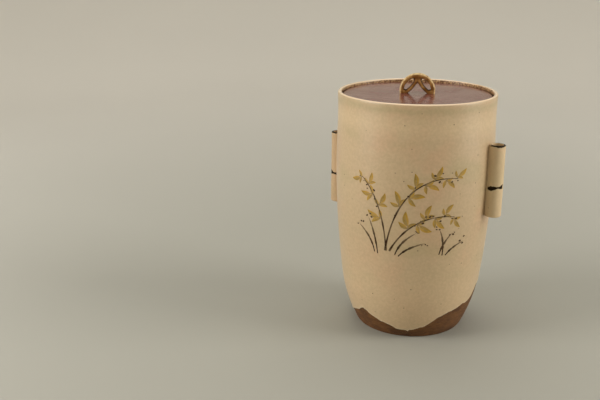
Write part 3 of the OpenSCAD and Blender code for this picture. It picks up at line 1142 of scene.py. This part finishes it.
# Bare stoneware: brown body with darker drifts, pale sand grains, level streaks from turning, and a dry
# sandy bump
def makeClay(name, lighten=0.0):
    look = clayLook
    material, tree, shader, place = newMaterial(name)
    drift = stepUp(tree, noise(tree, place, 55.0, 4.0, 0.6, (1, 1, 2.5)), 0.34, 0.70)
    colour = blendColour(tree, drift, look["brown"], look["dark"])
    grains = speckles(tree, place, look["grainScale"], size=(0.12, 0.26), chance=(0.45, 0.60))
    colour = blendColour(tree, times(tree, grains, look["grainWeight"]), colour, look["pale"])
    fine = noise(tree, place, 1300.0, 4.0, 0.7)
    streaks = stepUp(tree, noise(tree, place, 190.0, 3.0, 0.65, (1, 1, 3.5)), 0.30, 0.70)
    for texture, contrast in ((fine, look["fineContrast"]), (streaks, look["streakContrast"])):
        colour = shaded(tree, colour, texture, grey(1 - contrast), grey(1 + contrast))
    colour = blendColour(tree, lighten, colour, look["pale"])
    sand = bump(tree, grains, 0.25, 0.2 * mm, bump(tree, fine, 0.35, 0.3 * mm))
    fill(tree, shader, {"Base Color": colour, "Roughness": look["roughness"], "Normal": sand})
    return material


lidLook = dict(
    purple=screenColour(128, 75, 69),
    brown=screenColour(118, 67, 55),
    fleck=screenColour(146, 98, 94),
    fleckWeight=0.45,
    smooth=0.14,
    dull=0.30,
    coat=0.35,
    coatRoughness=0.14,
)


# Lid glaze: purple-brown with brown drifts and tiny paler crystals, nearly a mirror, with slow ripples
def makeLidGlazeLook():
    look = lidLook
    material, tree, shader, place = newMaterial("lid_brown_glaze")
    drift = stepUp(tree, noise(tree, place, 20.0, 5.0, 0.65), 0.25, 0.75)
    colour = blendColour(tree, drift, look["purple"], look["brown"])
    fine = noise(tree, place, 850.0, 4.0, 0.7)
    crystals = times(tree, stepUp(tree, fine, 0.55, 0.74), look["fleckWeight"])
    drag = noise(tree, place, 55.0, 4.0, 0.6)
    ripple = noise(tree, place, 170.0, 2.0, 0.5)
    waves = bump(tree, ripple, 0.5, 0.6 * mm, bump(tree, drag, 0.45, 1.0 * mm))
    fill(tree, shader, {
        "Base Color": blendColour(tree, crystals, colour, look["fleck"]),
        "Roughness": spread(tree, drag, look["smooth"], look["dull"], 0.3, 0.7),
        "Normal": bump(tree, fine, 0.05, 0.1 * mm, waves),
        "Coat Weight": look["coat"],
        "Coat Roughness": look["coatRoughness"],
    })
    return material


knobLook = dict(
    amber=screenColour(180, 136, 80),
    brown=screenColour(124, 80, 38),
    dark=screenColour(42, 21, 6),
    highlightGold=screenColour(232, 206, 154),
    sideInner=1.2 * mm,      # across the knob's plane: painted shade and pooled glaze dark up to here
    sideOuter=2.3 * mm,      # and bare of it from here on
    shadeAndPoolWeight=0.95,
    ridgeStart=0.2 * mm,     # outside the middle of the arch's coil: the painted gold highlight begins to show
    ridgeFull=1.3 * mm,
    footReach=2.5 * mm,      # the feet are browner up to this height
    footWeight=0.5,
    smooth=0.27,
    dull=0.42,
    specular=0.03,
    coat=0.08,
    coatRoughness=0.10,
)


# Knob glaze: amber with brown drifts, dark inside the loops as painted shade and pooled glaze, browner at
# the feet, and with a broken painted highlight of pale gold along the arch's outer ridge
def makeKnobGlaze():
    look = knobLook
    material, tree, shader, place = newMaterial("knob_amber_glaze")
    drift = stepUp(tree, noise(tree, place, 190.0, 3.0, 0.6), 0.34, 0.66)
    colour = blendColour(tree, drift, look["amber"], look["brown"])
    along, across, z = axes(tree, turnedPlace(tree, place, lidShape["turn"], (0, -knobShape["behind"], 0)))
    up = minus(tree, z, lidShape["top"] + knobShape["height"] - knobShape["width"] / 2)
    beyond = minus(tree, lengthOf(tree, along, up), knobShape["width"] / 2 - knobShape["archThick"])
    ridge = stepUp(tree, beyond, look["ridgeStart"], look["ridgeFull"])
    side = stepDown(tree, maths(tree, "ABSOLUTE", across), look["sideInner"], look["sideOuter"])
    # Dark inside the loops and under the arch: painted shade, and pooled glaze
    shadedAndPooled = times(tree, side, minus(tree, 1.0, ridge))
    colour = blendColour(tree, times(tree, shadedAndPooled, look["shadeAndPoolWeight"]), colour, look["dark"])
    low = stepDown(tree, z, lidShape["top"], lidShape["top"] + look["footReach"])
    colour = blendColour(tree, times(tree, low, look["footWeight"]), colour, look["brown"])
    # A broken painted highlight of pale gold along the arch's outer ridge
    highlightBreaks = stepUp(tree, noise(tree, place, 330.0, 3.0, 0.6), 0.30, 0.60)
    fill(tree, shader, {
        "Base Color": blendColour(tree, times(tree, ridge, highlightBreaks), colour, look["highlightGold"]),
        "Roughness": spread(tree, noise(tree, place, 300.0), look["smooth"], look["dull"]),
        "Normal": bump(tree, noise(tree, place, 420.0, 2.0), 0.25, 0.3 * mm),
        "Specular IOR Level": look["specular"],
        "Coat Weight": look["coat"],
        "Coat Roughness": look["coatRoughness"],
    })
    return material


# Putting the object together

def dress(piece, material, body, slot, *nodes):
    piece.data.materials.clear()
    piece.data.materials.append(material)
    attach(piece, body)
    if nodes:
        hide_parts(*nodes)
    return piece


dress(makeClayBody(), makeClay("bare_clay"), "jar", "clay", "jar_body")
dress(makeGlazeCoat(), makeCreamGlaze(), "jar", "cream_glaze", "outer_glaze")
dress(makeLining(), makeLiningGlaze(), "jar", "lining_glaze", "inner_glaze")
print("jar, glaze and lining made")

for name, lug in (("right", rightLug), ("left", leftLug)):
    lugGlaze = makeLugGlaze(name + "_lug_glaze", lug)
    dress(makeLug(name + "_tube_lug", lug), lugGlaze, "jar", "lug_glaze", name + "_lug")
print("lugs made")

dress(makeLidGlaze(), makeLidGlazeLook(), "lid", "lid_brown_glaze", "lid_glaze")
dress(makeLidClay(), makeClay("lid_clay_look", 0.12), "lid", "lid_clay", "lid_disc")
dress(makeKnob(), makeKnobGlaze(), "lid", "knob_amber_glaze", "knob_left_loop", "knob_right_loop")
print("lid and knob made")

paints = {name: makePaint(name) for name in paintLooks}
for part, piece in makeSpray().items():
    dress(piece, paints[paintFor[part]], "jar", "cream_glaze")
print("spray painted")


# Stage, light and camera

view = dict(
    place=Vector((0.2904, -0.6795, 0.337)),
    heading=math.radians(31.06),     # turn of the view to the left of +Y
    pitch=math.radians(17.07),       # how far it looks down
    lens=50.9,
)
stage = dict(
    floorTone=screenColour(172, 171, 160),
    wallTone=screenColour(236, 232, 222),
    fadeStart=0.05,  # metres from the jar: the floor's tone passes slowly into the wall's
    fadeEnd=1.5,
    flat=1.2,        # radius of the level floor
    bend=1.2,        # radius of the sweep from floor to wall
    height=3.0,
)
# Lamps, each at a place right, ahead and up of the jar as the camera sees it
sideTint = (1.0, 0.975, 0.955)
lamps = {
    "right_box": dict(place=(1.20, -0.32, 0.60), size=(0.6, 1.1), power=11.0, tint=sideTint),
    "left_box": dict(place=(-1.20, -0.32, 0.60), size=(0.6, 1.1), power=10.7, tint=sideTint),
    "top": dict(place=(0.0, 0.55, 1.7), size=(1.4, 1.4), power=9.2, tint=(1.0, 0.99, 0.965)),
}
lampTarget = Vector((0, 0, 0.11))
studio = dict(tone=screenColour(205, 202, 194), strength=0.36)


# Floor and wall in one sheet all round the jar: a level circle, a quarter circle up, then an upright wall
def makeStage():
    quarter = np.linspace(0, np.pi / 2, 24)
    level = np.linspace(0.02, 1, 12)[:-1] * stage["flat"]
    radius = np.concatenate([
        level,
        stage["flat"] + stage["bend"] * np.sin(quarter),
        [stage["flat"] + stage["bend"]],
    ])
    up = np.concatenate([0 * level, stage["bend"] * (1 - np.cos(quarter)), [stage["height"]]])
    points = carriedRound(radius[:, None], up[:, None], onceRound(128))
    sweep = gridPiece("floor_sweep", points, firstPole=(0, 0, 0))
    material, tree, shader, place = newMaterial("floor_paper")
    away = put(tree, "ShaderNodeVectorMath", {0: place}, operation="LENGTH").outputs["Value"]
    fade = stepUp(tree, away, stage["fadeStart"], stage["fadeEnd"])
    tone = blendColour(tree, fade, stage["floorTone"], stage["wallTone"])
    cloudy = shaded(tree, tone, noise(tree, place, 2.2, 2.0), grey(0.97), grey(1.03))
    fill(tree, shader, {"Base Color": cloudy, "Roughness": 0.9, "Specular IOR Level": 0.2})
    sweep.data.materials.append(material)


def makeLight():
    for name, lamp in lamps.items():
        light = bpy.data.lights.new(name, "AREA")
        light.shape = "RECTANGLE"
        light.size, light.size_y = lamp["size"]
        light.energy = lamp["power"]
        light.color = lamp["tint"]
        item = bpy.data.objects.new(name, light)
        item.location = Vector(turnedBy(view["heading"], *lamp["place"]))
        item.rotation_euler = (lampTarget - item.location).to_track_quat("-Z", "Y").to_euler()
        bpy.context.scene.collection.objects.link(item)
    world = bpy.data.worlds.new("studio")
    world.use_nodes = True
    back = world.node_tree.nodes["Background"]
    fill(world.node_tree, back, {"Color": studio["tone"], "Strength": studio["strength"]})
    bpy.context.scene.world = world


def makeCamera():
    lens = bpy.data.cameras.new("photo_view")
    lens.lens = view["lens"]
    lens.sensor_width = 36.0
    lens.sensor_fit = "HORIZONTAL"
    lens.clip_start = 0.05
    camera = bpy.data.objects.new("photo_view", lens)
    camera.location = view["place"]
    camera.rotation_euler = (math.pi / 2 - view["pitch"], 0, view["heading"])
    bpy.context.scene.collection.objects.link(camera)
    bpy.context.scene.camera = camera


makeStage()
makeLight()
makeCamera()
bpy.context.scene.view_settings.view_transform = "Standard"
print("stage, light and camera set")
